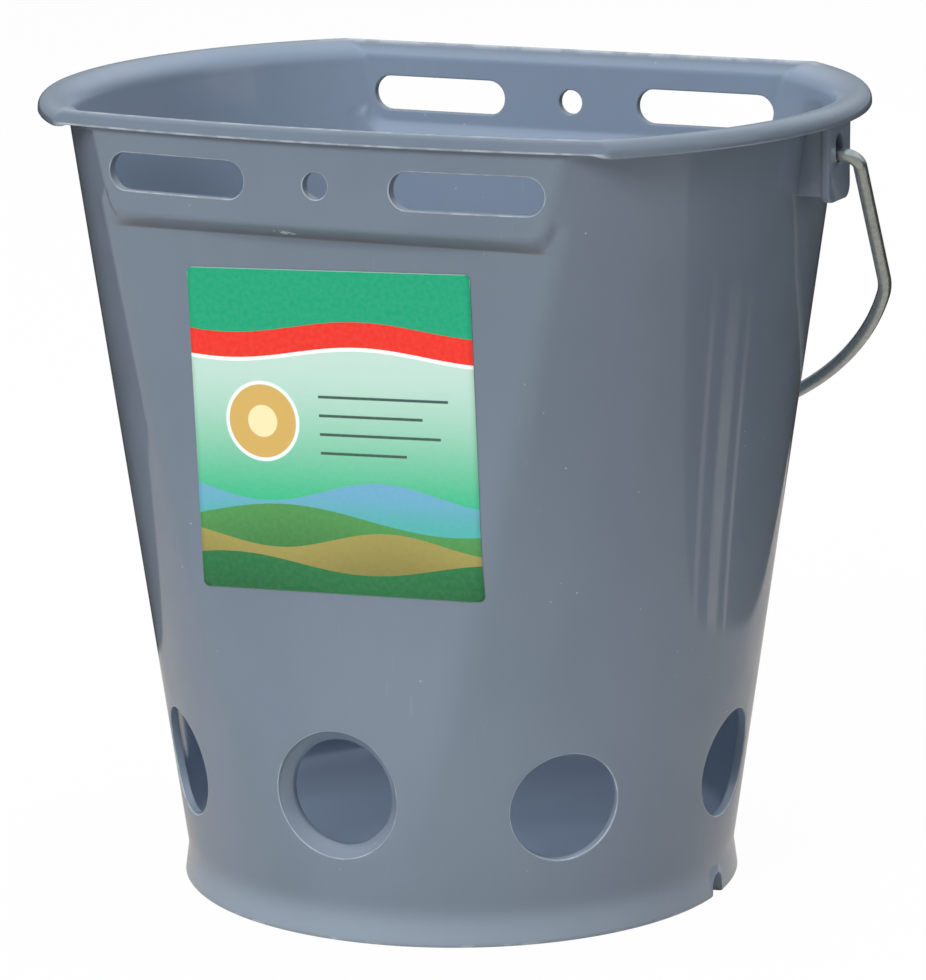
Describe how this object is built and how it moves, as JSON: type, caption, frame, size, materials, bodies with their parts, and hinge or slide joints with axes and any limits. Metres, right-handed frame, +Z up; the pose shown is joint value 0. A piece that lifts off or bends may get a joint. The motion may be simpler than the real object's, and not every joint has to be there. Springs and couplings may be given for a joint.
{
  "type": "multi teat lamb feeder bucket",
  "caption": "Blue-grey plastic lamb feeder bucket with flat front and back, round outlets near the floor, slotted hanging panels and a wire bail.",
  "frame": {"origin": "centre of the foot ring on the ground", "axes": "+X along the flats towards the ear on the right, +Y from the labelled front flat to the back flat, +Z up"},
  "size_m": [0.2838, 0.2136, 0.265],
  "materials": {
    "body_plastic": "satin",
    "bail_wire": "satin",
    "label_film": "gloss"
  },
  "bodies": {
    "body": {"bucket": "body_plastic", "label": "label_film"},
    "bail": {"bail": "bail_wire"}
  },
  "joints": [
    {"name": "bail_swing", "type": "hinge", "parent": "body", "child": "bail", "pos_m": [0, 0, 0.2496], "axis": [1, 0, 0], "range_deg": [0, 275]}
  ]
}
